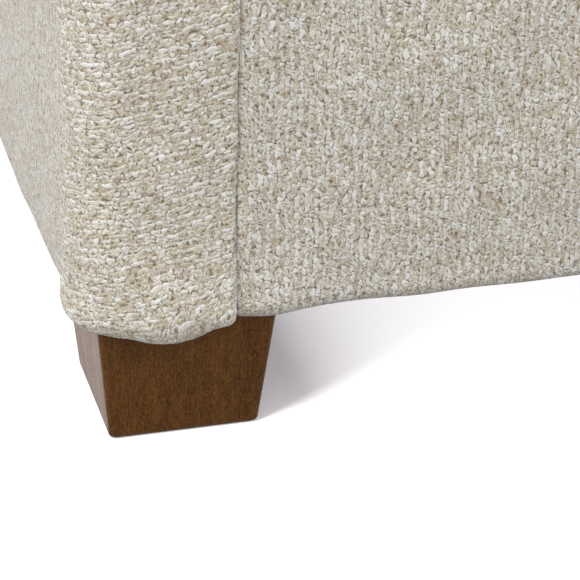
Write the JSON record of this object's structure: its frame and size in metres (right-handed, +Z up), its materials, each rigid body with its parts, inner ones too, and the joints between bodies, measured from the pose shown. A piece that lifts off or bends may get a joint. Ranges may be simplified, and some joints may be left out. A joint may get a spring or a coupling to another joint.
{
  "type": "ottoman with storage",
  "caption": "Rectangular upholstered ottoman on tapered block feet, with a padded lid that hinges up over a lined storage space and is held open by folding stays.",
  "frame": {"origin": "on the floor under the middle of the ottoman", "axes": "+X to the right along the length, -Y towards the front, +Z up; the lid's hinge runs along the back edge, parallel to X"},
  "size_m": [1.06, 0.68, 0.46],
  "materials": {
    "tweed": "matte",
    "walnut_finish": "satin",
    "plywood": "matte",
    "pine": "matte",
    "wadding": "matte",
    "foam": "matte",
    "lining_cloth": "matte",
    "cambric": "matte",
    "zinc_steel": "satin",
    "black_steel": "satin",
    "rubber": "matte"
  },
  "bodies": {
    "box": {"foot_front_left": "walnut_finish", "foot_front_right": "walnut_finish", "foot_back_left": "walnut_finish", "foot_back_right": "walnut_finish", "hanger_bolt_front_left": "zinc_steel", "hanger_bolt_front_right": "zinc_steel", "hanger_bolt_back_left": "zinc_steel", "hanger_bolt_back_right": "zinc_steel", "t_nut_front_left": "zinc_steel", "t_nut_front_right": "zinc_steel", "t_nut_back_left": "zinc_steel", "t_nut_back_right": "zinc_steel", "corner_block_front_left": "pine", "corner_block_front_right": "pine", "corner_block_back_left": "pine", "corner_block_back_right": "pine", "panel_front": "plywood", "panel_back": "plywood", "panel_left": "plywood", "panel_right": "plywood", "batten_front": "pine", "batten_back": "pine", "batten_left": "pine", "batten_right": "pine", "floor_stretcher": "pine", "floor_board": "plywood", "storage_lining": "lining_cloth", "dust_cover": "cambric", "wadding_front": "wadding", "wadding_back": "wadding", "wadding_left": "wadding", "wadding_right": "wadding", "cover_front": "tweed", "cover_back": "tweed", "cover_left": "tweed", "cover_right": "tweed", "cover_corner_front_left": "tweed", "cover_corner_front_right": "tweed", "cover_corner_back_left": "tweed", "cover_corner_back_right": "tweed", "hinge_leaf_box": "zinc_steel", "hinge_pin": "zinc_steel", "left_stay_wall_bracket": "black_steel", "right_stay_wall_bracket": "black_steel"},
    "lid": {"lid_cover_boxing": "tweed", "lid_cover_top": "tweed", "lid_board": "plywood", "lid_foam": "foam", "lid_lining": "lining_cloth", "lid_bumper_left": "rubber", "lid_bumper_right": "rubber", "hinge_leaf_lid": "zinc_steel", "left_stay_lid_bracket": "black_steel", "right_stay_lid_bracket": "black_steel"},
    "left_lower_arm": {"left_stay_lower_arm": "black_steel"},
    "left_upper_arm": {"left_stay_upper_arm": "black_steel"},
    "right_lower_arm": {"right_stay_lower_arm": "black_steel"},
    "right_upper_arm": {"right_stay_upper_arm": "black_steel"}
  },
  "joints": [
    {"name": "lid_hinge", "type": "hinge", "parent": "box", "child": "lid", "pos_m": [0, 0.3365, 0.3318], "axis": [-1, 0, 0], "range_deg": [0, 105]},
    {"name": "left_stay_wall_pivot", "type": "hinge", "parent": "box", "child": "left_lower_arm", "pos_m": [0, 0.2685, 0.2118], "axis": [-1, 0, 0], "range_deg": [0, 105]},
    {"name": "left_stay_elbow", "type": "hinge", "parent": "left_lower_arm", "child": "left_upper_arm", "pos_m": [0, 0.0385, 0.1978], "axis": [-1, 0, 0], "range_deg": [-105, 0]},
    {"name": "right_stay_wall_pivot", "type": "hinge", "parent": "box", "child": "right_lower_arm", "pos_m": [0, 0.2685, 0.2118], "axis": [-1, 0, 0], "range_deg": [0, 105]},
    {"name": "right_stay_elbow", "type": "hinge", "parent": "right_lower_arm", "child": "right_upper_arm", "pos_m": [0, 0.0385, 0.1978], "axis": [-1, 0, 0], "range_deg": [-105, 0]}
  ],
  "couplings": [
    {"joint": "left_stay_wall_pivot", "follows": "lid_hinge", "ratio": 1},
    {"joint": "left_stay_elbow", "follows": "lid_hinge", "ratio": -1},
    {"joint": "right_stay_wall_pivot", "follows": "lid_hinge", "ratio": 1},
    {"joint": "right_stay_elbow", "follows": "lid_hinge", "ratio": -1}
  ]
}
